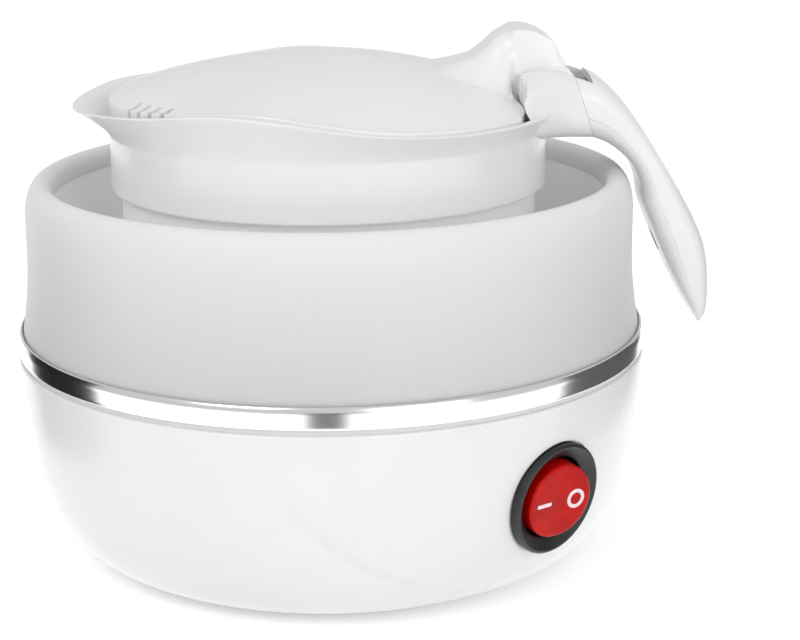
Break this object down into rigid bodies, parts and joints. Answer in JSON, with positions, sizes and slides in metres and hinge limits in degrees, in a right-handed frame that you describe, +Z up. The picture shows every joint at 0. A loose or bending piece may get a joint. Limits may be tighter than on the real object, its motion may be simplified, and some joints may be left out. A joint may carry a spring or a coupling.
{
  "type": "collapsible kettle",
  "caption": "Folded travel kettle: a heated base, a soft wall that folds into itself, and a head with a pouring lip, a hinged lid and a hook handle.",
  "frame": {"origin": "on the kettle's axis, at the table that its feet stand on", "axes": "+Z up, -X towards the pouring lip, +X towards the handle; seen from the front (-Y) the switch is at the right"},
  "size_m": [0.1373, 0.1246, 0.1035],
  "materials": {
    "white_plastic": "glossy white",
    "soft_wall": "satin translucent light grey silicone",
    "seal": "satin",
    "polished_steel": "polished",
    "stainless": "satin",
    "aluminium": "matt",
    "brass": "bright",
    "black_plastic": "satin black",
    "red_plastic": "glossy red, slightly translucent",
    "ceramic": "matt",
    "dark_rubber": "matt",
    "brown_insulation": "satin",
    "blue_insulation": "satin",
    "green_insulation": "satin"
  },
  "bodies": {
    "base": {"base_shell": "white_plastic", "bottom_cover": "white_plastic", "rubber_foot_1": "dark_rubber", "rubber_foot_2": "dark_rubber", "rubber_foot_3": "dark_rubber", "rubber_foot_4": "dark_rubber", "cover_screw_1": "stainless", "cover_screw_2": "stainless", "cover_screw_3": "stainless", "steel_band": "polished_steel", "water_pan": "stainless", "pan_gasket": "seal", "body_clamp_ring": "stainless", "clamp_screw_1": "stainless", "clamp_screw_2": "stainless", "clamp_screw_3": "stainless", "clamp_screw_4": "stainless", "silicone_outer_wall": "soft_wall", "silicone_fold": "soft_wall", "heat_spreader": "aluminium", "heating_element": "stainless", "thermostat": "ceramic", "thermal_fuse": "ceramic", "live_wire": "brown_insulation", "switched_wire": "brown_insulation", "neutral_wire": "blue_insulation", "earth_wire": "green_insulation", "switch_bezel": "black_plastic", "switch_body": "black_plastic", "switch_terminal_1": "brass", "switch_terminal_2": "brass", "switch_terminal_3": "brass", "inlet_body": "black_plastic", "inlet_live_blade": "brass", "inlet_earth_blade": "brass", "inlet_neutral_blade": "brass"},
    "head": {"head_collar": "white_plastic", "silicone_upper_wall": "soft_wall", "head_clamp_ring": "white_plastic", "head_screw_1": "stainless", "head_screw_2": "stainless", "head_screw_3": "stainless", "handle_shell": "white_plastic", "handle_liner": "white_plastic", "handle_screw_1": "stainless", "handle_screw_2": "stainless", "lid_hinge_pin": "stainless"},
    "lid": {"lid_top": "white_plastic", "lid_cover": "white_plastic", "lid_seal": "seal", "lid_screw_1": "stainless", "lid_screw_2": "stainless", "lid_screw_3": "stainless"},
    "rocker": {"switch_rocker": "red_plastic"}
  },
  "joints": [
    {"name": "head_lift", "type": "slide", "parent": "base", "child": "head", "axis": [0, 0, 1], "range_m": [0, 0.052], "deforming": ["silicone_fold"]},
    {"name": "lid_hinge", "type": "hinge", "parent": "head", "child": "lid", "pos_m": [0.044, 0, 0.0925], "axis": [0, 1, 0], "range_deg": [0, 70]},
    {"name": "rocker_tilt", "type": "hinge", "parent": "base", "child": "rocker", "pos_m": [0.03941, -0.04377, 0.02292], "axis": [0.0931, -0.1034, 0.9903], "range_deg": [0, 16]}
  ]
}
